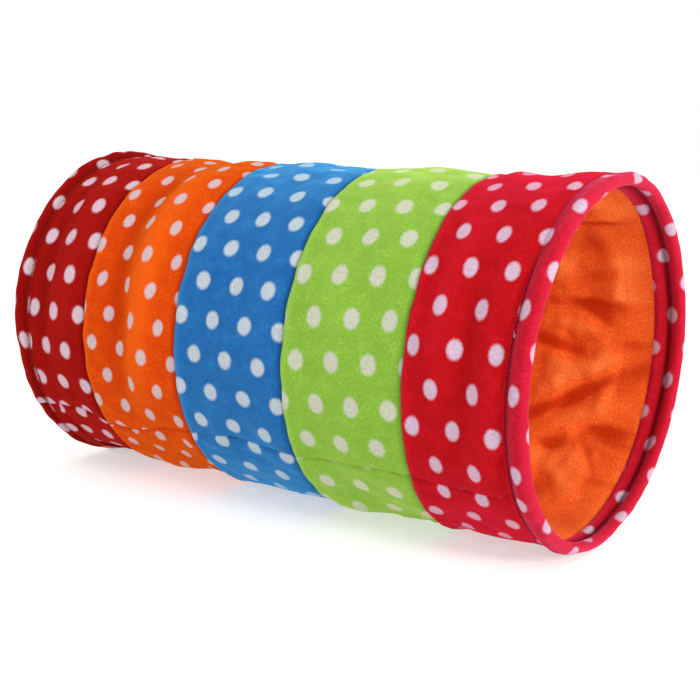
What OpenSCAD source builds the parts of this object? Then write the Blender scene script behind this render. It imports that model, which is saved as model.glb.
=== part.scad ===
// Soft play tunnel: five fleece bays on six spring-wire hoops, lying on its side.
// The passage runs along X, the end towards +X is the turned one, and Z is up.
// The origin is under the middle of the tunnel's box, on the floor that it lies on.

/* [Bays] */
// Width of the dark red bay, hem included
dark_red_w = 83; // [76:1:110]
// Width of the orange bay
orange_w = 102; // [80:1:130]
// Width of the blue bay
blue_w = 107; // [80:1:130]
// Width of the green bay
green_w = 106; // [80:1:130]
// Width of the crimson bay at its middle, hem included
crimson_w = 111; // [98:1:130]

/* [Ends] */
// Outside diameter over the end hems
hem_d = 300; // [260:10:360]
// Thickness of the roll that holds an end hoop
hem_roll = 12; // [11:0.5:14]
// Length of wall that stays with a hem when its bay folds
hem_sleeve = 16; // [14:1:18]
// Turn of the right end about the vertical, as the soft end lies
end_turn = 6; // [0:1:9]

/* [Wall] */
// Step in radius from a hem down to the outer panels
hem_step = 4; // [3.5:0.5:5]
// Thickness of one layer of fleece
fleece_t = 2.4; // [1.8:0.2:2.6]
// Thickness of the crinkle film between the layers
film_t = 0.4; // [0.2:0.1:0.6]
// Depth of the flat that the tunnel's weight presses in its underside
floor_flat = 1.5; // [1:0.1:2]

/* [Hoops] */
// Thickness of the spring wire
wire_d = 2.4; // [1.8:0.2:2.8]
// Length of the crimped sleeve that joins a hoop's ends
ferrule_l = 16; // [10:1:24]

/* [Hidden] */

$fn = 96;
bay_w = [dark_red_w, orange_w, blue_w, green_w, crimson_w];
length = bay_w[0] + bay_w[1] + bay_w[2] + bay_w[3] + bay_w[4];

// Gaps: between layers, between parts of different bays, and round a crimped wire
layer_gap = 0.2;
seam_gap = 0.4;
wire_gap = 0.1;

// Radii of the wall, from the outside in
panel_r = hem_d / 2 - hem_step;
film_r = panel_r - fleece_t - layer_gap;
lining_r = film_r - film_t - layer_gap;
wall_in_r = lining_r - fleece_t;

// A ferrule closes round the wire, and a channel has room for the ferrule
ferrule_wall = 0.7;
ferrule_r = wire_d / 2 + wire_gap + ferrule_wall;
channel_r = ferrule_r + 2 * wire_gap;
tape_t = 0.9;
casing_r = channel_r + tape_t;

// Each hoop's own radius, to the middle of its wire
end_hoop_r = hem_d / 2 - hem_roll / 2;
hoop_r = panel_r - fleece_t - layer_gap - casing_r;

// Heights of the two kinds of hoop, which all reach the floor
end_z = hem_d / 2 - floor_flat;
bay_z = panel_r - floor_flat;

// The turned end reaches further out on one side, so the box's middle isn't the length's
turn_reach = end_hoop_r * sin(end_turn);
left_face = -(length + turn_reach) / 2;
function sum_to(i) = i == 0 ? 0 : bay_w[i - 1] + sum_to(i - 1);
seam = [for (i = [0:5]) left_face + sum_to(i)];

left_hoop_x = seam[0] + hem_roll / 2;
right_hoop_x = seam[5] - hem_roll / 2;
left_sleeve_x = left_hoop_x + hem_sleeve;
right_sleeve_x = right_hoop_x - turn_reach - hem_sleeve;

// Where each bay's wall begins and ends
bay_from = [left_sleeve_x, seam[1], seam[2], seam[3], seam[4]];
bay_to = [seam[1], seam[2], seam[3], seam[4], right_sleeve_x];

// The crimped joints sit low at the back
ferrule_at = 215;
cut = 2 * hem_d;

dark_red = [0.62, 0.06, 0.08];
orange = [0.93, 0.33, 0.05];
blue = [0.13, 0.45, 0.75];
green = [0.58, 0.8, 0.2];
crimson = [0.85, 0.07, 0.2];
steel = [0.7, 0.71, 0.73];

// Turns a shape made round Z so that it stands round the passage at x
module at_x(x, z, turn = 0) {
    translate([x, 0, z]) rotate([0, 0, -turn]) rotate([0, 90, 0]) children();
}

module above_floor() {
    difference() {
        children();
        translate([-cut, -cut, -2 * cut]) cube(2 * cut);
    }
}

// A length of wall between two places along the passage
module wall(from, to, r, t) {
    above_floor() at_x(from, bay_z) difference() {
        cylinder(h = to - from, r = r);
        translate([0, 0, -1]) cylinder(h = to - from + 2, r = r - t);
    }
}

module panel(i) wall(bay_from[i] + seam_gap / 2, bay_to[i] - seam_gap / 2, panel_r, fleece_t);

// The film and the lining stop short of the casings that lie on the seams
module inner_layer(i, r, t) {
    from = bay_from[i] + (i == 0 ? seam_gap / 2 : casing_r + layer_gap);
    to = bay_to[i] - (i == 4 ? seam_gap / 2 : casing_r + layer_gap);
    wall(from, to, r, t);
}

module film(i) color([0.86, 0.88, 0.9]) inner_layer(i, film_r, film_t);
module lining(i) color(orange) inner_layer(i, lining_r, fleece_t);

module wire(r) color(steel) rotate_extrude() translate([r, 0]) circle(d = wire_d, $fn = 32);

// The crimped sleeve follows the wire's own curve
module ferrule(r) {
    arc = ferrule_l / r * 180 / PI;
    color([0.55, 0.56, 0.58]) rotate([0, 0, ferrule_at]) rotate_extrude(angle = arc) translate([r, 0])
        difference() {
            circle(r = ferrule_r, $fn = 32);
            circle(r = wire_d / 2 + wire_gap, $fn = 32);
        }
}

module casing() {
    color([0.92, 0.92, 0.9]) rotate_extrude() translate([hoop_r, 0]) difference() {
        circle(r = casing_r, $fn = 48);
        circle(r = channel_r, $fn = 48);
    }
}

// A hem is the end of the wall, rolled round its hoop
module hem_roll_ring(x, turn) {
    at_x(x, end_z, turn) rotate_extrude() translate([end_hoop_r, 0]) circle(d = hem_roll, $fn = 64);
}

module hem_channel(x, turn) {
    at_x(x, end_z, turn) rotate_extrude() translate([end_hoop_r, 0]) circle(r = channel_r, $fn = 48);
}

module sleeve_wall(from, to) {
    at_x(from, bay_z) difference() {
        cylinder(h = to - from, r = panel_r);
        translate([0, 0, -1]) cylinder(h = to - from + 2, r = wall_in_r);
    }
}

module hem_left() {
    color(dark_red) above_floor() difference() {
        union() {
            hem_roll_ring(left_hoop_x, 0);
            sleeve_wall(left_hoop_x, left_sleeve_x - seam_gap / 2);
        }
        hem_channel(left_hoop_x, 0);
    }
}

// The turned end's sleeve is cut to a wedge by the hoop's own plane
module hem_right() {
    color(crimson) above_floor() difference() {
        union() {
            hem_roll_ring(right_hoop_x, end_turn);
            difference() {
                sleeve_wall(right_sleeve_x + seam_gap / 2, right_hoop_x + 2 * turn_reach);
                translate([right_hoop_x, 0, 0]) rotate([0, 0, -end_turn]) translate([0, -cut, -cut])
                    cube(2 * cut);
            }
        }
        hem_channel(right_hoop_x, end_turn);
    }
}

module panel_dark_red() color(dark_red) panel(0);
module panel_orange() color(orange) panel(1);
module panel_blue() color(blue) panel(2);
module panel_green() color(green) panel(3);
module panel_crimson() color(crimson) panel(4);

hem_left();
at_x(left_hoop_x, end_z) wire(end_hoop_r);  // hoop_left
at_x(left_hoop_x, end_z) ferrule(end_hoop_r);  // ferrule_left

panel_dark_red();
panel_orange();
panel_blue();
panel_green();
panel_crimson();

for (i = [0:4]) {
    film(i);
    lining(i);
}

for (i = [1:4]) {
    at_x(seam[i], bay_z) casing();
    at_x(seam[i], bay_z) wire(hoop_r);
    at_x(seam[i], bay_z) ferrule(hoop_r);
}

hem_right();
at_x(right_hoop_x, end_z, end_turn) wire(end_hoop_r);  // hoop_right
at_x(right_hoop_x, end_z, end_turn) ferrule(end_hoop_r);  // ferrule_right
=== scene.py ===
import math

import bpy
import numpy as np
from mathutils import Matrix, Vector


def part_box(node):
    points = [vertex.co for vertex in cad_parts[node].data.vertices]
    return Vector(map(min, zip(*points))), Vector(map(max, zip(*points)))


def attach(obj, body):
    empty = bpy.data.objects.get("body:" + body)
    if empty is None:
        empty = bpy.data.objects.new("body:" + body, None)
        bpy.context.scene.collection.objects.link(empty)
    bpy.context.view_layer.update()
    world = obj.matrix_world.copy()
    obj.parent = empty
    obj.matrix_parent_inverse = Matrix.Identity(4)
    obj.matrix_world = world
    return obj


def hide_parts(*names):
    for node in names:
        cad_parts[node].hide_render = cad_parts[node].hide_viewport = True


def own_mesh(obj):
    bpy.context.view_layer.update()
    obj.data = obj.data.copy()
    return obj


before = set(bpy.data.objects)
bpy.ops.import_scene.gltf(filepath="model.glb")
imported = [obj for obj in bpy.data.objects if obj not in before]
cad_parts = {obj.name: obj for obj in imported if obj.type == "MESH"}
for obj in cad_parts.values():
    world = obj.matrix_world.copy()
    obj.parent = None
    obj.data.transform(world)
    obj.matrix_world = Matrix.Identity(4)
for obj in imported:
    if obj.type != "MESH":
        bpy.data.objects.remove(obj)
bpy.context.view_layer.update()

# ---------------------------------------------------------------- places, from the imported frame
MM = 0.001


def middle(node):
    """The middle of a node's box."""
    low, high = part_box(node)
    return (low + high) / 2


def extent(node):
    """The size of a node's box."""
    low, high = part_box(node)
    return high - low


COLOURS = ["dark_red", "orange", "blue", "green", "crimson"]
BODIES = ["left_end", "ring_1", "ring_2", "ring_3", "ring_4", "right_end"]
WALL_R = extent("panel_blue").y / 2
ONCE_ROUND = 2 * math.pi * WALL_R
HEM_R = extent("hem_left").y / 2
WIRE = extent("hoop_left").x
HOOP_R = (extent("hoop_left").y - WIRE) / 2
TURN = math.asin((extent("hoop_right").x - WIRE) / (2 * HOOP_R))
BAY_Z = middle("hoop_2").z
END_Z = middle("hoop_left").z
LEFT_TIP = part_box("hem_left")[0].x
LEFT_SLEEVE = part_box("hem_left")[1].x
RIGHT_TIP = middle("hoop_right").x + HEM_R - HOOP_R
RIGHT_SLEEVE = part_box("hem_right")[0].x
SEAMS = [middle(f"hoop_{i}").x for i in (1, 2, 3, 4)]

# Each hem's width, from its tip to its stitch line
LEFT_HEM = 13.5 * MM
RIGHT_HEM = 16 * MM
LEFT_GROOVE = LEFT_TIP + LEFT_HEM
RIGHT_GROOVE = RIGHT_TIP - RIGHT_HEM
# How far in from each tip the lining comes out from under the hem
LINING_IN = 21 * MM
LINING_LEFT = LEFT_TIP + LINING_IN
LINING_RIGHT = RIGHT_TIP - LINING_IN
FLEECE = 2.2 * MM
# Half of the gap between two lengths of cloth that meet end to end
HAIR = 0.02 * MM
BAY_FROM = [LEFT_GROOVE] + SEAMS
BAY_TO = SEAMS + [RIGHT_SLEEVE]
LINING_FROM = [LINING_LEFT] + SEAMS
# How far the film's edges stay back from the left end of the lining and from the seams
FILM_IN = 6 * MM
FILM_SHORT = 1 * MM
FILM_FROM = [LINING_LEFT + FILM_IN] + [x + FILM_SHORT for x in SEAMS]
FILM_TO = [x - FILM_SHORT for x in BAY_TO]

# The casings that carry the inner hoops, between the two layers of cloth
CASING_OUT = extent("casing_2").y / 2
CASING_IN = CASING_OUT - extent("casing_2").x
CASING_GAP = 0.4 * MM
LINING_R = CASING_IN - FLEECE - CASING_GAP

# The long side seam, measured from the top towards -Y
SIDE_SEAM = math.radians(122.5)
# Corners round each ring of cloth
AROUND = 384


def smooth(t):
    """0 below 0 and 1 above 1, with a soft climb between them."""
    t = np.clip(t, 0, 1)
    return t * t * (3 - 2 * t)


def bell(x, wide):
    """1 at 0, falling away softly on both sides."""
    return np.exp(-((x / wide) ** 2))


def wrapped(th):
    """The same angle between -pi and pi."""
    return (th + math.pi) % (2 * math.pi) - math.pi


# ---------------------------------------------------------------- the wall as a surface
def place(u, th, r):
    """Points of the wall at station u along the tunnel, angle th from the top and radius r."""
    turn = turn_at(u)
    lift_left = smooth((LEFT_SLEEVE - u) / (LEFT_SLEEVE - LEFT_TIP))
    lift_right = smooth((u - RIGHT_SLEEVE) / (RIGHT_TIP - RIGHT_SLEEVE))
    x = u - r * np.sin(th) * np.sin(turn)
    y = -r * np.sin(th) * np.cos(turn)
    z = BAY_Z + (END_Z - BAY_Z) * (lift_left + lift_right) + r * np.cos(th)
    return np.stack([x, y, on_floor(z)], axis=-1)


def turn_at(u):
    """How far the cloth has turned with the right end at station u."""
    return TURN * np.clip((u - RIGHT_SLEEVE) / (RIGHT_GROOVE - RIGHT_SLEEVE), 0, 1)


def on_floor(z):
    """Cloth that would pass through the floor lies on it instead, in a soft curve."""
    soft = 1.4 * MM
    return 0.5 * (z + np.sqrt(z * z + soft * soft))


def waves(u, th, size, length, seed, count=16):
    """A sum of soft waves in every direction that closes on itself round the tunnel."""
    rng = np.random.default_rng(seed)
    total = np.zeros(np.broadcast(u, th).shape)
    for _ in range(count):
        k = 2 * math.pi / (length * rng.uniform(0.7, 1.6))
        a = rng.uniform(0, math.pi)
        turns = round(k * math.sin(a) * WALL_R)
        total += np.sin(k * math.cos(a) * u + turns * th + rng.uniform(0, 2 * math.pi))
    return total * size / math.sqrt(count / 2)


def fold(u, th, x, deg, along, across, depth, slant):
    """One soft fold: it runs slant degrees from the tunnel's length, raised by depth."""
    a = u - x
    b = WALL_R * wrapped(th - math.radians(deg))
    s = math.radians(slant)
    run = a * math.cos(s) + b * math.sin(s)
    off = -a * math.sin(s) + b * math.cos(s)
    return depth * np.exp(-((off / across) ** 2) / 2 - np.abs(run / along) ** 2.2)


# x and angle of the fold's middle, half length, half width, height (all mm but the angles), slant
OUTER_FOLDS = [
    (-222, 60, 70, 7, -3.0, 90), (-197, 70, 90, 10, 2.5, 88), (-190, 10, 40, 8, -2.5, 60),
    (-142, 60, 110, 13, -3.0, 90), (-112, 62, 120, 12, 3.5, 92), (-130, 0, 60, 12, -3.0, 75),
    (-60, 15, 35, 6, -2.0, 40), (-30, 20, 60, 12, 2.0, 80), (10, 80, 60, 14, 1.6, 85),
    (85, 10, 60, 16, 3.5, 85), (70, 70, 70, 14, 1.5, 80), (120, 40, 60, 12, -2.0, 85),
    (162, 60, 80, 11, 2.6, 92), (184, 75, 70, 8, -2.2, 95), (165, 5, 50, 9, 3.0, 70),
    (-150, 150, 40, 9, 4.0, 20), (-30, 152, 50, 10, 4.0, -15), (60, 148, 45, 9, 4.0, 12),
    (120, 155, 40, 8, -3.0, 25), (-100, 158, 30, 7, -3.0, -20),
]
# The same for the lining, where a height above 0 stands into the passage
INNER_FOLDS = [
    (197, -37, 26, 2.6, -3.5, 3), (205, -30, 30, 9, 2.5, 3), (185, -47, 22, 6, -3.0, -78),
    (165, -75, 42, 5, -5.0, -4), (165, -84, 40, 6, 4.5, -4), (150, -93, 38, 5, -4.5, -16),
    (196, -83, 22, 6, -3.0, -38), (172, -111, 52, 5.5, -7.0, 36), (166, -103, 46, 8, 4.0, 36),
    (186, -118, 34, 8, 3.5, 30), (161, -132, 13, 6, -6.5, 24), (204, -123, 20, 4, -4.0, -4),
    (199, -136, 22, 3.4, -3.6, -58), (212, -60, 34, 9, 2.5, 80), (216, -104, 26, 6, -2.5, 62),
    (150, -60, 30, 8, 3.0, 30), (120, -140, 40, 8, 4.0, 15), (140, -152, 40, 8, -3.5, -20),
    (60, -80, 60, 9, 4.0, -30), (20, -110, 70, 9, 4.0, 20), (-60, -70, 70, 10, 4.0, -15),
    (-130, -100, 60, 9, 4.0, 30), (150, 60, 60, 8, 3.0, 20), (60, 120, 70, 9, 4.0, -20),
    (-80, 130, 60, 9, 4.0, 15), (-190, 30, 50, 8, 3.0, 40), (180, 130, 40, 7, -4.0, 25),
    (190, 95, 40, 7, 4.0, -30), (170, 30, 40, 8, 3.5, 35), (-215, 100, 40, 7, 4.0, 30),
    (-200, -60, 40, 7, -4.0, -25), (214, -146, 18, 3.5, -2.6, -12), (216, -131, 16, 3.2, 2.2, -20),
    (213, -90, 20, 4, -2.6, 14), (211, -72, 24, 4, 2.4, -8), (190, -62, 30, 6, -2.2, 24),
    (176, -147, 26, 5, 2.6, -40), (205, -158, 20, 4, -2.4, 20),
]


def folds(u, th, rows):
    """The height of all the folds in a list at a place."""
    total = np.zeros(np.broadcast(u, th).shape)
    for x, deg, along, across, depth, slant in rows:
        total += fold(u, th, x * MM, deg, along * MM, across * MM, depth * MM, slant)
    return total


# Steps right round a part of a bay: x, middle angle, half arc, rise and half width
STEPS = [
    (-224, 62, 56, 6.0, 14), (-133, 66, 62, 6.5, 15), (190, 88, 44, 4.0, 13),
    (-120, -80, 50, 4.5, 15), (100, -95, 45, -4.0, 15), (-210, -110, 40, 4.0, 14),
]


def steps(u, th):
    """Where slack cloth has slipped along: it climbs steeply and falls away slowly on both sides."""
    total = np.zeros(np.broadcast(u, th).shape)
    for x, deg, arc, rise, width in STEPS:
        d = (u - x * MM - 3 * MM * np.sin(5 * th)) / (width * MM)
        window = smooth(1.25 - np.abs(wrapped(th - math.radians(deg))) / math.radians(arc))
        total += rise * MM * d * np.exp(-d * d) * window
    return total


def held(u):
    """0 at a hem's stitch line and at a seam's hoop, 1 in the middle of a bay."""
    near = np.minimum.reduce([np.abs(u - x) for x in [LEFT_GROOVE] + SEAMS + [RIGHT_GROOVE]])
    return smooth(near / (20 * MM))


def clear_of_casings(u):
    """0 where a folded bay brings the lining to a casing, 1 where it never meets one."""
    gaps = [np.where(u < x, x - u - 16 * MM, u - x - 11 * MM) for x in SEAMS]
    return smooth(np.minimum.reduce(gaps) / (16 * MM))


def outer_form(u, th):
    """How far the outer wall stands off its plain radius."""
    free = held(u)
    form = folds(u, th, OUTER_FOLDS) * (0.35 + 0.65 * free) + steps(u, th) * free
    form = form + waves(u, th, 0.7 * MM, 60 * MM, 3) * (0.3 + 0.7 * free)
    form = form + waves(u, th, 0.2 * MM, 20 * MM, 4) + sag(u, th, free)
    # Gathers that the seams' stitching pulls
    form = form + waves(0 * u, th, 0.4 * MM, 26 * MM, 5) * (1 - free)
    form = form * wall_end_fade(u) + towards_hems(u, th) + turned_end_form(u, th)
    # The side seam pulls the cloth in, and puckers it
    d = from_side_seam(u, th)
    pull = 1.0 * MM * bell(d, 1.5 * MM) + 0.6 * MM * bell(d, 6 * MM)
    return form - pull * (1 + 0.5 * np.sin(u / (7 * MM)) * bell(d, 9 * MM))


def sag(u, th, free):
    """The cloth stands up over the tunnel's crown and is drawn up under it, most of all at the left."""
    up, down = np.cos(th), -np.cos(th)
    form = 3.2 * MM * smooth((up + 0.1) / 1.1) * (0.5 + 0.5 * free)
    form = form - 3.0 * MM * smooth((down - 0.3) / 0.7) * (0.3 + 0.7 * free)
    form = form - 2.6 * MM * smooth((down - 0.1) / 0.8) * smooth((-u - 150 * MM) / (60 * MM))
    return form + 2.4 * MM * smooth((down - 0.3) / 0.6) * bell(u - 45 * MM, 60 * MM) * free


def towards_hems(u, th):
    """The cloth runs up to the turned hem's crown, and dips into the stitch lines elsewhere."""
    near = smooth((u - RIGHT_GROOVE + 70 * MM) / (64 * MM))
    form = 4.0 * MM * near * crown(th)
    form = form - 0.9 * MM * (1 - crown(th)) * bell(u - RIGHT_GROOVE, 7 * MM)
    return form - 0.9 * MM * bell(u - LEFT_GROOVE, 6 * MM)


# How much of the right stitch line is lost over the turned end's crown
CROWN_SHARE = 0.95


def crown(th):
    """1 over the top of the turned end, 0 down its sides."""
    return smooth((np.cos(th + 0.15) - 0.35) / 0.6)


# How oval the turned end is, and its soft corners: rise in mm, angle and half arc in degrees
OVAL = 3.0 * MM
CORNERS = [(2.4, -14, 24), (-1.6, -56, 18), (-3.2, -166, 30)]


def turned_end_form(u, th):
    """How far the turned end's cloth stands off its hoop."""
    lead = 20 * MM
    share = smooth((u - RIGHT_SLEEVE + lead) / (RIGHT_GROOVE - RIGHT_SLEEVE + lead))
    form = -OVAL * np.sin(th) ** 2
    for rise, deg, arc in CORNERS:
        form = form + rise * MM * bell(np.degrees(wrapped(th - math.radians(deg))), arc)
    return share * form


def from_side_seam(u, th):
    """How far a place lies from the side seam, round the tunnel."""
    return WALL_R * np.abs(wrapped(th - side_seam(u)))


def side_seam(u):
    """The angle of the side seam, which wanders towards the left end."""
    wander = 7 * bell(u + 165 * MM, 42 * MM) + 0.8 * np.sin(u / (23 * MM))
    return SIDE_SEAM + np.radians(wander)


def wall_end_fade(u):
    """1 along the wall, fading out at both hems."""
    from_groove = np.minimum(u - LEFT_GROOVE, RIGHT_GROOVE - u)
    return smooth((from_groove + 4 * MM) / (14 * MM))


def painted_light_outer(u, th):
    """Painted light on the outer cloth: painted highlight where a place stands above the cloth round it (to
    1), painted shade where it lies below (to -1), and deeper painted shade, to about -3, in a seam.
    """
    lie = np.clip((folds(u, th, OUTER_FOLDS) + steps(u, th)) * held(u) / (5 * MM), -1, 1)
    # Painted shade along the side seam, uneven along its length
    side_seam_painted_shade = 1.5 + 0.7 * np.sin(u / (9 * MM)) + 0.4 * np.sin(u / (3.1 * MM))
    return lie - side_seam_painted_shade * bell(from_side_seam(u, th), 1.2 * MM) - 1.1 * groove_painted_shade(u, th)


def groove_painted_shade(u, th):
    """Painted shade in a hem's stitch line: 1 in the line, fading over the turned end's crown."""
    right = bell(u - RIGHT_GROOVE, 5.0 * MM) * (1 - CROWN_SHARE * crown(th))
    return right + bell(u - LEFT_GROOVE, 3.6 * MM)


def long_waves(u, th):
    return waves(u, th, 1.3 * MM, 70 * MM, 11)


def short_waves(u, th):
    return waves(u, th, 0.7 * MM, 36 * MM, 13)


def painted_light_inner(u, th):
    """Painted light on the lining: painted highlight where a place stands above the cloth round it (to 1),
    painted shade where it lies below (to -1).
    """
    soft = long_waves(u, th) + short_waves(u, th)
    return np.clip((folds(u, th, INNER_FOLDS) + 0.7 * soft) / (5 * MM), -1, 1)


def outer_radius(u, th):
    """The outer wall's outside face. Close to a seam it never sinks to the casing."""
    r = WALL_R + outer_form(u, th)
    floor = CASING_OUT + 1.6 * MM - 8 * MM * held(u)
    return floor + soft_positive(r - floor)


def soft_positive(x, soft=0.5 * MM):
    """x where it is above 0, with a soft turn to 0 below."""
    return 0.5 * (x + np.sqrt(x * x + soft * soft))


def lining_radius(u, th):
    """The lining's inside face: over a casing it lies on the tape, and between them it is slack."""
    free, clear = held(u), clear_of_casings(u)
    from_end = np.minimum(u - LINING_LEFT, LINING_RIGHT - u)
    near_end = smooth((from_end - 3 * MM) / (28 * MM))
    rest = LINING_R + 2.0 * MM * clear + (1 - near_end) * 4.6 * MM
    form = folds(u, th, INNER_FOLDS) * (0.45 + 0.55 * free) * near_end
    form = form + long_waves(u, th) * (0.4 + 0.6 * free) * near_end
    form = form + (waves(u, th, 0.35 * MM, 20 * MM, 12) + short_waves(u, th)) * near_end
    rest = rest + turned_end_form(u, th)
    ceiling = LINING_R + 5 * MM * clear + (1 - near_end) * 5 * MM
    ceiling = np.minimum(ceiling, outer_radius(u, th) - 2 * FLEECE - 0.5 * MM)
    return ceiling - soft_positive(ceiling - rest + form)


# ---------------------------------------------------------------- meshes
def ring_mesh(name, u, r, print_u, under, painted_light):
    """A closed ring of cloth. Its arrays hold one row for a point of its section, one column an angle."""
    rows, cols = u.shape
    th = angles(u)
    points = place(u, th, r).reshape(-1, 3)
    i, j = np.meshgrid(np.arange(rows), np.arange(cols), indexing="ij")
    i2, j2 = (i + 1) % rows, (j + 1) % cols
    faces = np.stack([i * cols + j, i2 * cols + j, i2 * cols + j2, i * cols + j2], -1).reshape(-1, 4)
    mesh = bpy.data.meshes.new(name)
    mesh.vertices.add(len(points))
    mesh.vertices.foreach_set("co", points.astype(np.float32).ravel())
    mesh.loops.add(faces.size)
    mesh.loops.foreach_set("vertex_index", faces.astype(np.int32).ravel())
    mesh.polygons.add(len(faces))
    mesh.polygons.foreach_set("loop_start", np.arange(0, faces.size, 4, dtype=np.int32))
    mesh.polygons.foreach_set("use_smooth", np.ones(len(faces), bool))
    mesh.update(calc_edges=True)
    # The print's own coordinates in metres: along the tunnel, and round it from the side seam
    round_it = np.linspace(0, ONCE_ROUND, cols + 1)[None, :] + WALL_R * (side_seam(u[:, :1]) - SIDE_SEAM)
    # The step in the print at the side seam fades out round the tunnel's back
    round_it = round_it + under * np.clip(1 - round_it / (0.65 * ONCE_ROUND), 0, 1)
    pu = print_u[:, [*range(cols), 0]]
    uv = np.empty((rows, cols, 4, 2))
    for corner, (row, col) in enumerate(((i, j), (i2, j), (i2, j + 1), (i, j + 1))):
        uv[..., corner, 0] = pu[row, col]
        uv[..., corner, 1] = round_it[row, col]
    layer = mesh.uv_layers.new(name="print")
    layer.data.foreach_set("uv", uv.astype(np.float32).ravel())
    # Painted shade (below 0) and painted highlight (above 0), which the fleece reads
    height = mesh.attributes.new("painted_light", "FLOAT", "POINT")
    height.data.foreach_set("value", painted_light.astype(np.float32).ravel())
    return linked(name, mesh)


def linked(name, data):
    """A new object in the scene."""
    thing = bpy.data.objects.new(name, data)
    bpy.context.scene.collection.objects.link(thing)
    return thing


def angles(u):
    """The columns of a ring, which begin and end at the side seam."""
    return side_seam(u[:, :1]) + np.linspace(0, 2 * math.pi, AROUND, endpoint=False)[None, :]


def along_print(u, th, r):
    """The place along the tunnel that a point of the print keeps on the turned end too."""
    return u - r * np.sin(th) * np.sin(turn_at(u))


def stations(a, b, step=2.4 * MM, rim=0.25 * MM):
    """Places from a to b, with one more close to each end to keep the rim crisp."""
    inner = np.linspace(a + rim, b - rim, max(3, round((b - a) / step) + 1))
    return np.concatenate([[a], inner, [b]])


def cloth_ring(name, u, outside, inside, painted_light, under=0.0, joined=(False, False)):
    """A ring of cloth between its outside and inside radius; joined ends shade on into the next ring."""
    u_all = np.concatenate([u, u[::-1]])
    th = angles(u_all)
    radii = np.concatenate([outside, inside[::-1]])
    along = along_print(u_all, th, WALL_R)
    piece = ring_mesh(name, u_all, radii, along, under, np.concatenate([painted_light, painted_light[::-1]]))
    smooth_faces = np.ones((2 * len(u), AROUND), bool)
    smooth_faces[-1] = not joined[0]
    smooth_faces[len(u) - 1] = not joined[1]
    piece.data.polygons.foreach_set("use_smooth", smooth_faces.ravel())
    return piece


def panel(name, a, b, lip_left, lip_right, under):
    """One bay's dotted cloth, with its left edge lying over the last bay and its right edge tucked in."""
    u = np.repeat(stations(a + HAIR, b - HAIR)[:, None], AROUND, 1)
    r = outer_radius(u, angles(u))
    lie = painted_light_outer(u, angles(u))
    if lip_left:
        d = u - a
        r = r + 1.2 * MM * bell(d, 5.5 * MM) - 1.8 * MM * bell(d, 0.9 * MM)
        # Painted highlight on the left edge's roll
        lie = lie + 0.7 * bell(d - 3 * MM, 2.5 * MM)
    if lip_right:
        d = b - u
        r = r - 1.4 * MM * bell(d, 3.6 * MM)
        # Painted shadow under the next bay's edge
        lie = lie - 3.2 * bell(d, 2.6 * MM)
    return cloth_ring(name, u, r, r - FLEECE, lie, under, (not lip_left, not lip_right))


def lining(name, a, b):
    """One length of the orange lining, from a to b."""
    u = np.repeat(stations(a + HAIR, b - HAIR)[:, None], AROUND, 1)
    r = lining_radius(u, angles(u))
    return cloth_ring(name, u, r + FLEECE, r, painted_light_inner(u, angles(u)), 0.0, (True, True))


# The film's half thickness, and the least gap between it and the cloth on either side
FILM_HALF = 0.05 * MM
FILM_GAP = 0.15 * MM


def film(name, a, b):
    """One bay's crinkle film, loose between the two layers of cloth, and flat on the lining at a casing."""
    u = np.repeat(stations(a, b, 3 * MM)[:, None], AROUND, 1)
    th = angles(u)
    over_lining = lining_radius(u, th) + FLEECE
    room = outer_radius(u, th) - FLEECE - over_lining - 2 * FILM_GAP
    creases = waves(u, th, 0.16, 14 * MM, 41) + waves(u, th, 0.1, 7 * MM, 42)
    share = 0.5 + np.clip(creases, -0.3, 0.3)
    r = over_lining + FILM_GAP + room * share * clear_of_casings(u)
    return cloth_ring(name, u, r + FILM_HALF, r - FILM_HALF, 0 * r)


# The hem's section: distance in from its tip and distance down from its outer radius, in mm
HEM_SECTION = [
    (16.0, 4.4), (14.8, 3.8), (12.8, 2.3), (10.2, 0.8), (7.4, 0.0), (4.2, 0.3), (1.5, 2.0),
    (0.0, 4.8), (0.5, 7.5), (2.6, 9.5), (5.4, 10.2), (8.0, 9.5), (9.8, 8.0), (11.6, 6.9),
    (13.6, 6.9), (15.2, 8.2), (16.8, 9.8), (18.8, 10.5), (20.8, 10.0), (21.8, 8.9), (23.5, 8.0),
    (25.5, 7.2), (22.0, 6.2), (18.5, 5.2),
]
# Its first points lie outside, from the stitch line to the roll, and stretch to the hem's own width
OUTSIDE_POINTS = 5
SECTION_WIDTH = HEM_SECTION[0][0] * MM
ROLL_WIDTH = 8 * MM


def closed_curve(points, each):
    """A smooth closed line through the points, with that many steps from one to the next."""
    p = np.array(points, float)
    before, after, last = np.roll(p, 1, 0), np.roll(p, -1, 0), np.roll(p, -2, 0)
    t = np.linspace(0, 1, each, endpoint=False)[None, :, None]
    a, b, c, d = before[:, None], p[:, None], after[:, None], last[:, None]
    line = 0.5 * (
        2 * b + (c - a) * t + (2 * a - 5 * b + 4 * c - d) * t**2 + (3 * b - a - 3 * c + d) * t**3
    )
    return line.reshape(-1, 2)


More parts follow.
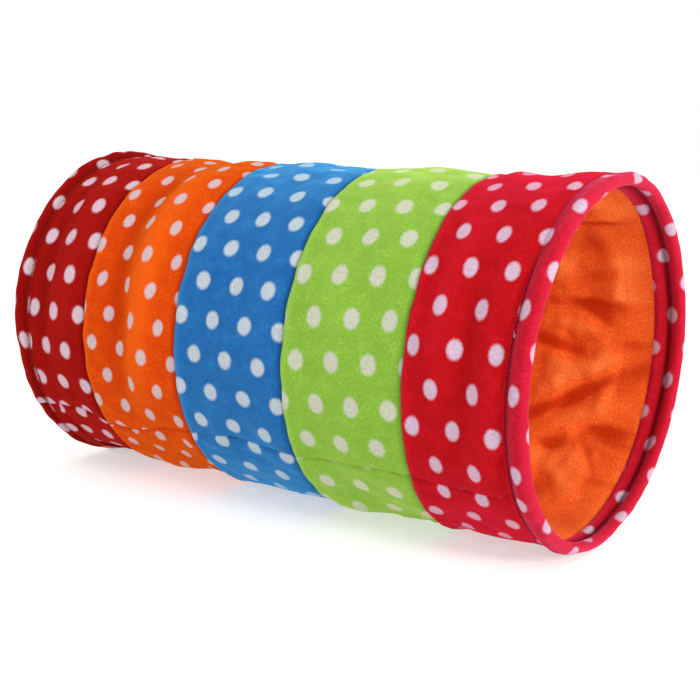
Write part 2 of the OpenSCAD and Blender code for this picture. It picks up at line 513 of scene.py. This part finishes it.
def hem(name, tip, inward, wide, seed, under):
    """The end of the wall rolled round its hoop; inward is the way along X from the tip into the tunnel."""
    each = 3
    section = closed_curve(HEM_SECTION, each) * MM
    # The print runs on over the roll by its own length
    lengths = np.hypot(*np.diff(np.concatenate([section, section[:1]]), axis=0).T)
    length = np.concatenate([[0], np.cumsum(lengths)[:-1]])
    s, drop = np.repeat(section[:, :1], AROUND, 1), np.repeat(section[:, 1:], AROUND, 1)
    outside = np.arange(len(section))[:, None] < OUTSIDE_POINTS * each
    stretch = (wide - ROLL_WIDTH) / (SECTION_WIDTH - ROLL_WIDTH)
    s = np.where(outside & (s > ROLL_WIDTH), ROLL_WIDTH + (s - ROLL_WIDTH) * stretch, s)
    u = tip + inward * s
    th = angles(u)
    # Soft bulges on the roll
    soft = (1 - smooth((drop - 6 * MM) / (5 * MM))) * smooth((wide - s) / (6 * MM))
    bulge = waves(s * 1.5, th, 0.5 * MM, 55 * MM, seed) + waves(s, th, 0.2 * MM, 16 * MM, seed + 1)
    turned = inward < 0
    # How much of the stitch line is lost over the crown
    lost = CROWN_SHARE * crown(th) * turned
    drop = drop * (1 - lost * smooth((s - 5 * MM) / (8 * MM)) * outside)
    r = HEM_R - drop + soft * bulge + turned * turned_end_form(u, th)
    pu = along_print(tip + inward * wide + 0 * u, th, WALL_R) - inward * length[:, None]
    # Painted shade and painted highlight on the hem
    lie = hem_painted_light(s, drop, wide, outside, lost, 3.6 * MM if turned else 6 * MM)
    if turned:
        u, r, pu, lie = u[::-1], r[::-1], pu[::-1], lie[::-1]
    return ring_mesh(name, u, r, pu, under, lie)


def hem_painted_light(s, drop, wide, outside, lost, reach):
    """Painted shade in the stitch line, towards the wall and in the channel inside, and painted highlight on
    the roll's tip and the inside bead.
    """
    tip_to_wall = 0.45 * smooth((6.5 * MM - s) / (5 * MM)) - 0.75 * smooth((s - 7 * MM) / (7 * MM)) * outside
    stitched = 1.5 * bell(s - wide, reach) * (1 - lost) * outside
    channel = 3.57 * bell(s - 12.6 * MM, 3.0 * MM) * (drop > 5.5 * MM) * ~outside
    bead = 0.6 * bell(s - 18.6 * MM, 2.2 * MM) * (drop > 8 * MM)
    return tip_to_wall + bead - stitched - channel


def tube(points, radius, sides=6):
    """Corners and faces of a round thread along some points, closed at both ends."""
    p = np.array(points, float)
    way = np.gradient(p, axis=0)
    way /= np.linalg.norm(way, axis=1)[:, None]
    side = np.cross(way, [0.31, 0.17, 0.93])
    side /= np.linalg.norm(side, axis=1)[:, None]
    other = np.cross(way, side)
    a = np.linspace(0, 2 * math.pi, sides, endpoint=False)[None, :, None]
    thick = radius * np.ones(len(p))
    thick[[0, -1]] *= 0.45
    rings = p[:, None] + thick[:, None, None] * (np.cos(a) * side[:, None] + np.sin(a) * other[:, None])
    last = (len(p) - 1) * sides
    faces = []
    for i in range(0, last, sides):
        for j in range(sides):
            j2 = (j + 1) % sides
            faces.append([i + j, i + j2, i + sides + j2, i + sides + j])
    faces += [list(range(sides))[::-1], list(range(last, last + sides))]
    return rings.reshape(-1, 3), faces


def thread_piece(name, lines, radius):
    """One mesh of separate lengths of thread."""
    points, faces = [], []
    for line in lines:
        corners, sides = tube(line, radius)
        faces += [[i + len(points) for i in face] for face in sides]
        points += [tuple(c) for c in corners]
    mesh = bpy.data.meshes.new(name)
    mesh.from_pydata(points, [], faces)
    mesh.polygons.foreach_set("use_smooth", np.ones(len(faces), bool))
    return linked(name, mesh)


def on_hem(tip, inward, s, th, drop):
    """Places on a hem's outside, some way in from its tip and some way down from its outer radius."""
    u = tip + inward * s + 0 * th
    return place(u, th, HEM_R - drop + (inward < 0) * turned_end_form(u, th))


STITCH_PITCH = 3.6 * MM
STITCH = 2.6 * MM


def stitches(tip, inward, wide):
    """The machine stitches that close a hem: each dips into the cloth at both ends."""
    count = round(ONCE_ROUND / STITCH_PITCH)
    lines = []
    for i in range(count):
        th = 2 * math.pi * i / count + np.linspace(-0.5, 0.5, 5) * STITCH / WALL_R
        dip = 0.55 * MM * np.linspace(-1, 1, 5) ** 2
        s = wide - 0.3 * MM + 0.2 * MM * math.sin(1.7 * i)
        lines.append(on_hem(tip, inward, s, th, 4.1 * MM + dip))
    return lines


def loose_end(tip, inward, wide, degrees, seed):
    """A thread's cut end that stands out of the stitch line in a small curl."""
    rng = np.random.default_rng(seed)
    t = np.linspace(0, 1, 12)
    th = math.radians(degrees) + (0.030 * t + 0.012 * np.sin(5 * t + rng.uniform(0, 3)))
    s = wide - 0.4 * MM + (2.6 * np.sin(3.4 * t) - 1.0 * t) * MM
    return on_hem(tip, inward, s, th, 4.6 * MM - (3.6 * t - 1.6 * t * t) * MM)


# ---------------------------------------------------------------- materials
class Graph:
    """A new material, with short calls for the nodes that it uses."""

    def __init__(self, name):
        self.material = bpy.data.materials.new(name)
        self.material.use_nodes = True
        self.nodes = self.material.node_tree.nodes
        self.links = self.material.node_tree.links
        self.shader = self.nodes["Principled BSDF"]

    def surface(self, **values):
        """Sets the shader's inputs, named with _ for a space."""
        for name, value in values.items():
            self.put(self.shader.inputs[name.replace("_", " ")], value)

    def bump(self, height, strength, distance):
        """Makes the surface rough by a height."""
        n = self.nodes.new("ShaderNodeBump")
        n.inputs["Strength"].default_value = strength
        n.inputs["Distance"].default_value = distance
        self.put(n.inputs["Height"], height)
        self.put(self.shader.inputs["Normal"], n.outputs[0])

    def object_place(self):
        return self.nodes.new("ShaderNodeTexCoord").outputs["Object"]

    def print_place(self):
        n = self.nodes.new("ShaderNodeUVMap")
        n.uv_map = "print"
        return n.outputs[0]

    def painted_light(self):
        # The painted shade and painted highlight that the cloth's rings carry
        n = self.nodes.new("ShaderNodeAttribute")
        n.attribute_name = "painted_light"
        return n.outputs["Fac"]

    def rotated(self, at, pivot, degrees):
        n = self.nodes.new("ShaderNodeVectorRotate")
        n.rotation_type = "Z_AXIS"
        self.put(n.inputs["Vector"], at)
        n.inputs["Center"].default_value = pivot
        n.inputs["Angle"].default_value = math.radians(degrees)
        return n.outputs[0]

    def put(self, socket, value):
        """Links another node's output to a socket, or sets its value."""
        if isinstance(value, bpy.types.NodeSocket):
            self.links.new(value, socket)
        else:
            socket.default_value = value

    def math(self, op, a, b=0.0):
        n = self.nodes.new("ShaderNodeMath")
        n.operation = op
        for socket, value in zip(n.inputs, (a, b)):
            self.put(socket, value)
        return n.outputs[0]

    def vector(self, op, a, b=(0, 0, 0), c=(0, 0, 0)):
        n = self.nodes.new("ShaderNodeVectorMath")
        n.operation = op
        for socket, value in zip(n.inputs, (a, b, c)):
            self.put(socket, value)
        return n.outputs["Value"] if op in ("LENGTH", "DOT_PRODUCT") else n.outputs[0]

    def noise(self, at, scale, detail=2.0, rough=0.5, what="Fac"):
        n = self.nodes.new("ShaderNodeTexNoise")
        self.put(n.inputs["Vector"], at)
        n.inputs["Scale"].default_value = scale
        n.inputs["Detail"].default_value = detail
        n.inputs["Roughness"].default_value = rough
        return n.outputs[what]

    def spread(self, value, low, high, to_low=0.0, to_high=1.0, kind="SMOOTHSTEP"):
        """The value, carried from one range to another and held at its ends."""
        n = self.nodes.new("ShaderNodeMapRange")
        n.interpolation_type = kind
        for socket, v in zip(n.inputs, (value, low, high, to_low, to_high)):
            self.put(socket, v)
        return n.outputs[0]

    def mix(self, share, a, b, kind="MIX"):
        n = self.nodes.new("ShaderNodeMix")
        n.data_type, n.blend_type = "RGBA", kind
        for name, sort, value in (("Factor", "VALUE", share), ("A", "RGBA", a), ("B", "RGBA", b)):
            self.put(next(s for s in n.inputs if s.name == name and s.type == sort), value)
        return next(s for s in n.outputs if s.type == "RGBA")


# Half width along the tunnel and half height round it of each print's dots, in mm, and their white
DOTS = {
    "dark_red": (5.6, 7.5, (0.545, 0.425, 0.483)),
    "orange": (4.7, 6.6, (0.50, 0.40, 0.415)),
    "blue": (6.4, 7.1, (0.445, 0.48, 0.50)),
    "green": (6.5, 8.0, (0.475, 0.475, 0.385)),
    "crimson": (5.1, 7.3, (0.50, 0.385, 0.49)),
}
# How far the dots' edges stray along the nap
FRAY = 2.0 * MM


def dots(g, at, pitch, row, tilt, start, half):
    """1 in the printed dots: staggered rows, one row apart round the tunnel, a pitch apart along it."""
    moved = g.vector("SUBTRACT", g.rotated(at, (*start, 0), -tilt), (*start, 0))
    stray = g.vector("SUBTRACT", g.noise(at, 700, 3, 0.7, "Color"), (0.5, 0.5, 0.5))
    frayed = g.vector("ADD", moved, g.vector("MULTIPLY", stray, (FRAY, FRAY, 0)))
    nearest = []
    for shift in (0.0, 0.5):
        at_dot = g.vector("ADD", frayed, (shift * pitch, shift * 2 * row, 0))
        off = g.vector("WRAP", at_dot, (pitch / 2, row, 1), (-pitch / 2, -row, -1))
        nearest.append(g.vector("LENGTH", g.vector("MULTIPLY", off, (1 / half[0], 1 / half[1], 0))))
    return g.spread(g.math("MINIMUM", *nearest), 0.77, 1.23, 1.0, 0.0)


def nap(g, at, fine, coarse):
    """Fleece's short nap as a height: fine fibres in small clumps, combed a little one way."""
    stretched = g.vector("MULTIPLY", at, (1.0, 0.7, 1.0))
    fibres = g.noise(stretched, fine, 4, 0.65)
    clumps = g.noise(at, coarse, 3, 0.55)
    return g.math("ADD", g.math("MULTIPLY", fibres, 0.55), g.math("MULTIPLY", clumps, 0.45)), clumps


def fleece(name, colour, shade, bright, sheen, printed=None, white=None, fine=1700, coarse=420,
           bump_depth=0.9 * MM, grain=(0.80, 1.16), uneven=0.55, hollow=0.75, deepest=1.0):
    """Napped fleece: painted shade in the hollows, its colour on the flat and painted highlight on what
    stands up.
    """
    colour, shade, bright = (*colour, 1), (*shade, 1), (*bright, 1)
    g = Graph(name)
    at, lie = g.print_place(), g.painted_light()
    height, clumps = nap(g, at, fine, coarse)
    patches = g.noise(at, 75, 3, 0.6)
    mottled = g.math("ADD", g.math("MULTIPLY", g.spread(clumps, 0.3, 0.7), 1 - uneven),
                     g.math("MULTIPLY", g.spread(patches, 0.32, 0.68), uneven))
    ground = g.mix(g.math("MULTIPLY", g.math("SUBTRACT", 1.0, mottled), hollow), colour, shade)
    ground = g.mix(g.math("MULTIPLY", g.spread(mottled, 0.55, 1.0), 0.45), ground, bright)
    # Painted shade in the hollows and painted highlight where the cloth stands up
    ground = g.mix(g.spread(lie, 0.0, -1.0, 0.0, deepest), ground, shade)
    ground = g.mix(g.spread(lie, 0.0, 1.0, 0.0, 0.8), ground, bright)
    if printed:
        # The ink lets a little of the dye through where it lies thin
        white = (*white, 1)
        thick = g.spread(g.noise(at, 700, 3, 0.6), 0.2, 0.8, 0.7, 1.0)
        ink = g.mix(thick, g.mix(0.2, white, colour), white)
        ground = g.mix(dots(g, at, **printed), ground, ink)
    # The nap's grain, and the painted shadow line where cloth tucks under an edge or into a seam
    combed = g.vector("MULTIPLY", at, (1.25, 0.6, 1.0))
    speckle = g.spread(g.noise(combed, coarse * 1.6, 3, 0.7), 0.32, 0.68, *grain, "LINEAR")
    ground = g.mix(1.0, ground, speckle, "MULTIPLY")
    ground = g.mix(1.0, ground, g.spread(lie, -1.0, -3.4, 1.0, 0.42), "MULTIPLY")
    g.bump(height, 0.6, bump_depth)
    g.surface(Base_Color=ground, Roughness=0.95, Specular_IOR_Level=0.03, Sheen_Weight=sheen[0],
              Sheen_Roughness=0.5, Sheen_Tint=(*sheen[1:], 1))
    return g.material


def lattice(colour, pitch, row, tilt, start_u, start_round):
    """A print's own spacing in mm, its tilt, and where one dot lies: along, and round from the top."""
    half = tuple(x * MM for x in DOTS[colour][:2])
    start = (start_u * MM, (start_round * MM - SIDE_SEAM * WALL_R) % ONCE_ROUND)
    return {"pitch": pitch * MM, "row": row * MM, "tilt": tilt, "half": half, "start": start}


PRINT = {
    "dark_red": lattice("dark_red", 27.0, 33.3, 1.0, -21.4, 86.3),
    "orange": lattice("orange", 29.3, 28.1, 5.4, -25.6, -30.4),
    "blue": lattice("blue", 32.5, 30.0, 2.0, 64.8, 28.0),
    "green": lattice("green", 31.9, 33.2, -4.0, 25.2, -39.6),
    "crimson": lattice("crimson", 31.6, 30.1, -1.0, 76.3, -38.3),
}
# How far the print is out of step across the side seam, where the cut's two edges meet
SEAM_STEP = {"dark_red": -5 * MM, "orange": 23 * MM, "blue": 9 * MM, "green": 16 * MM, "crimson": 2 * MM}


def under_step(colour):
    """The shift that gives the cloth under the side seam its place in the print, within one row."""
    row = PRINT[colour]["row"]
    return (ONCE_ROUND + SEAM_STEP[colour] + row) % (2 * row) - row


# Each dye's own colour; a darker copy, painted as shade in hollows; a lighter copy, painted as highlight
# where the cloth stands up (both copies also tint the nap's random mottling); and the nap's sheen: its
# weight and its tint
DYE_AND_PAINTED_LIGHT = {
    "dark_red": (
        (0.275, 0.0040, 0.0026), (0.21, 0.0026, 0.0018), (0.33, 0.0075, 0.0055), (0.4, 0.80, 0.03, 0.02)),
    "orange": (
        (0.60, 0.053, 0.0022), (0.50, 0.034, 0.0016), (0.72, 0.092, 0.0050), (0.35, 1.0, 0.32, 0.01)),
    "blue": (
        (0.013, 0.109, 0.325), (0.008, 0.079, 0.26), (0.023, 0.165, 0.455), (0.8, 0.12, 0.52, 0.95)),
    "green": (
        (0.205, 0.395, 0.040), (0.165, 0.33, 0.030), (0.27, 0.48, 0.062), (0.6, 0.65, 0.90, 0.22)),
    "crimson": (
        (0.41, 0.0042, 0.0060), (0.33, 0.0028, 0.0040), (0.50, 0.0080, 0.019), (0.7, 1.0, 0.03, 0.10)),
    # A lighter, pinker copy of the crimson for the turned hem's roll: painted sheen
    "crimson_roll_painted_sheen": (
        (0.46, 0.0058, 0.017), (0.36, 0.0038, 0.008), (0.56, 0.014, 0.046), (0.5, 1.0, 0.15, 0.34)),
    "lining": (
        (0.95, 0.155, 0.024), (0.56, 0.034, 0.0030), (0.99, 0.270, 0.062), (0.35, 1.0, 0.40, 0.12)),
}


def faded(colour, share):
    """A colour made darker, and the colour itself."""
    return (*[c * share for c in colour], 1), (*colour, 1)


def metal(name, colour, rough):
    """Drawn wire or plated sheet, a little worn."""
    g = Graph(name)
    where = g.object_place()
    drawn = g.noise(where, 900, 3, 0.6)
    worn = g.spread(g.noise(where, 60, 4, 0.6), 0.35, 0.65)
    g.bump(drawn, 0.2, 0.2 * MM)
    g.surface(Base_Color=g.mix(worn, *faded(colour, 0.72)), Metallic=1.0,
              Roughness=g.spread(drawn, 0.3, 0.7, rough, rough + 0.2))
    return g.material


def thread_material(name, colour):
    """Twisted thread: fine slanting plies."""
    g = Graph(name)
    where = g.object_place()
    plies = g.math("SINE", g.math("MULTIPLY", g.vector("DOT_PRODUCT", where, (1.0, 0.8, 1.2)), 6000))
    fuzz = g.noise(where, 1500, 2, 0.6)
    share = g.spread(g.math("ADD", plies, fuzz), -1, 2)
    g.surface(Base_Color=g.mix(share, *faded(colour, 0.6)), Roughness=0.7)
    return g.material


def tape_material():
    """The casings' woven cotton tape: a fine plain weave."""
    g = Graph("casing_tape")
    where = g.object_place()
    across = g.math("SINE", g.math("MULTIPLY", g.vector("DOT_PRODUCT", where, (1, 0, 0)), 7000))
    along = g.math("SINE", g.math("MULTIPLY", g.vector("DOT_PRODUCT", where, (0, 1, 1)), 5200))
    weave = g.math("MULTIPLY", across, along)
    soiled = g.spread(g.noise(where, 90, 3, 0.6), 0.3, 0.7)
    tone = g.mix(soiled, (0.60, 0.57, 0.51, 1), (0.74, 0.72, 0.67, 1))
    between = g.mix(0.25, tone, (0.3, 0.28, 0.25, 1))
    g.bump(weave, 0.5, 0.2 * MM)
    g.surface(Base_Color=g.mix(g.spread(weave, -1, 1), between, tone), Roughness=0.9)
    return g.material


def crinkle_plastic():
    """The film that rustles: clear plastic, clouded where it has been creased."""
    g = Graph("crinkle_film")
    creases = g.noise(g.object_place(), 160, 5, 0.7)
    cloud = g.spread(creases, 0.42, 0.62)
    g.bump(creases, 0.6, 0.8 * MM)
    g.surface(Base_Color=g.mix(cloud, (0.86, 0.88, 0.90, 1), (0.62, 0.65, 0.68, 1)), Alpha=0.55,
              Roughness=g.spread(creases, 0.3, 0.7, 0.12, 0.4))
    return g.material


# ---------------------------------------------------------------- pieces
def finish_piece(piece, material, body, replaced):
    """Gives a piece its material and its body, and hides the nodes it stands for."""
    piece.data.materials.clear()
    piece.data.materials.append(material)
    if replaced:
        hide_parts(*replaced)
    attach(piece, body)
    return piece


def squash_with_bay(piece):
    """Gives the piece a mesh of its own."""
    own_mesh(piece)


cloth = {c: fleece(f"fleece_{c}", *DYE_AND_PAINTED_LIGHT[c], printed=PRINT[c], white=DOTS[c][2]) for c in COLOURS}
# The hem's roll gets the crimson copy with painted sheen
painted_sheen_roll_cloth = fleece("fleece_crimson_roll", *DYE_AND_PAINTED_LIGHT["crimson_roll_painted_sheen"], printed=PRINT["crimson"],
                    white=DOTS["crimson"][2])
lining_cloth = fleece("lining_fleece", *DYE_AND_PAINTED_LIGHT["lining"], fine=1200, coarse=380, bump_depth=2.2 * MM,
                      grain=(0.74, 1.21), uneven=0.3, hollow=0.35, deepest=0.95)
film_plastic = crinkle_plastic()

for k, colour in enumerate(COLOURS):
    outer = panel(f"dotted_{colour}", BAY_FROM[k], BAY_TO[k], k > 0, k < 4, under_step(colour))
    finish_piece(outer, cloth[colour], BODIES[k], [f"panel_{colour}"])
    inner = lining(f"lining_length_{k + 1}", LINING_FROM[k], BAY_TO[k])
    finish_piece(inner, lining_cloth, BODIES[k], [f"lining_{k + 1}"])
    crackle = film(f"crinkle_film_{k + 1}", FILM_FROM[k], FILM_TO[k])
    finish_piece(crackle, film_plastic, BODIES[k], [f"film_{k + 1}"])
    for piece in (outer, inner, crackle):
        squash_with_bay(piece)

left_hem = hem("rolled_hem_left", LEFT_TIP, 1, LEFT_HEM, 21, under_step("dark_red"))
finish_piece(left_hem, cloth["dark_red"], "left_end", ["hem_left"])
right_hem = hem("rolled_hem_right", RIGHT_TIP, -1, RIGHT_HEM, 31, under_step("crimson"))
finish_piece(right_hem, painted_sheen_roll_cloth, "right_end", ["hem_right"])
sleeve = panel("dotted_crimson_end", RIGHT_SLEEVE, RIGHT_GROOVE, False, False, under_step("crimson"))
finish_piece(sleeve, cloth["crimson"], "right_end", [])
end_lining = lining("lining_end_right", RIGHT_SLEEVE, LINING_RIGHT)
finish_piece(end_lining, lining_cloth, "right_end", [])

THREAD = 0.28 * MM
dark_thread = thread_material("thread_dark_red", (0.24, 0.008, 0.008))
left_thread = thread_piece("hem_stitches_left", stitches(LEFT_TIP, 1, LEFT_HEM), THREAD)
finish_piece(left_thread, dark_thread, "left_end", [])
crimson_thread = thread_material("thread_crimson", (0.45, 0.014, 0.04))
right_thread = thread_piece("hem_stitches_right", stitches(RIGHT_TIP, -1, RIGHT_HEM), THREAD)
finish_piece(right_thread, crimson_thread, "right_end", [])

# The seam's two cut ends of thread: where each stands out, in degrees from the top, and its curl
ends = [loose_end(RIGHT_TIP, -1, RIGHT_HEM, degrees, seed) for degrees, seed in ((71.5, 5), (73.0, 8))]
cut_thread = thread_piece("hem_thread_ends", ends, 0.3 * MM)
pale_thread = thread_material("thread_pale", (0.66, 0.42, 0.50))
finish_piece(cut_thread, pale_thread, "right_end", [])

# The hard pieces keep the frame's own shapes and get these materials
kept = {
    "hoop": metal("hoop_wire", (0.62, 0.63, 0.65), 0.28),
    "ferrule": metal("ferrule_steel", (0.5, 0.51, 0.53), 0.42),
    "casing": tape_material(),
}
for node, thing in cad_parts.items():
    kind = node.split("_")[0]
    if kind in kept:
        thing.data.materials.clear()
        thing.data.materials.append(kept[kind])


# ---------------------------------------------------------------- floor, light, camera
def area_light(name, place_at, look_at, size, watts):
    """A round soft light."""
    lamp = bpy.data.lights.new(name, "AREA")
    lamp.shape, lamp.size, lamp.energy = "DISK", size, watts
    thing = linked(name, lamp)
    thing.location = place_at
    aim = Vector(look_at) - Vector(place_at)
    thing.rotation_euler = aim.to_track_quat("-Z", "Y").to_euler()


def make_floor():
    """A pale floor that glows enough to look white, and still takes a soft shadow."""
    mesh = bpy.data.meshes.new("floor")
    half = 30
    corners = [(-half, -half, 0), (half, -half, 0), (half, half, 0), (-half, half, 0)]
    mesh.from_pydata(corners, [], [(0, 1, 2, 3)])
    floor = linked("floor", mesh)
    # A little below the cloth, which lies on the ground itself
    floor.location.z = -0.4 * MM
    g = Graph("floor_pale")
    g.surface(Base_Color=(0.6, 0.6, 0.6, 1), Roughness=0.9, Specular_IOR_Level=0.0,
              Emission_Color=(1, 1, 1, 1), Emission_Strength=0.52)
    mesh.materials.append(g.material)


def make_light():
    """White all round, with a soft key from the left front and a fill that reaches into the passage."""
    world = bpy.data.worlds.new("studio")
    world.use_nodes = True
    background = world.node_tree.nodes["Background"]
    background.inputs["Color"].default_value = (1, 1, 1, 1)
    background.inputs["Strength"].default_value = 1.0
    bpy.context.scene.world = world
    area_light("key", (-0.5, -1.3, 1.8), (0, 0, 0.12), 1.0, 8)
    area_light("fill", (1.7, -0.35, 0.75), (0.15, 0.06, 0.14), 0.5, 18)


def make_camera():
    """The camera from the front right, a little above the tunnel and a little tilted."""
    azimuth, elevation, roll = math.radians(31.1), math.radians(10.16), math.radians(2.48)
    aim, distance, shift_right, shift_down = Vector((-0.0008, 0, 0.146)), 0.985, 0.0033, 0.0146
    back = Vector((math.sin(azimuth) * math.cos(elevation), -math.cos(azimuth) * math.cos(elevation),
                   math.sin(elevation)))
    right = Vector((0, 0, 1)).cross(back).normalized()
    up = back.cross(right)
    right, up = (right * math.cos(roll) + up * math.sin(roll), up * math.cos(roll) - right * math.sin(roll))
    data = bpy.data.cameras.new("camera")
    data.sensor_width, data.lens = 36, 56.57
    camera = linked("camera", data)
    spot = aim + back * distance + right * shift_right - up * shift_down
    turn = Matrix((right, up, back)).transposed().to_4x4()
    camera.matrix_world = Matrix.Translation(spot) @ turn
    bpy.context.scene.camera = camera


make_floor()
make_light()
make_camera()
bpy.context.scene.view_settings.view_transform = "Standard"
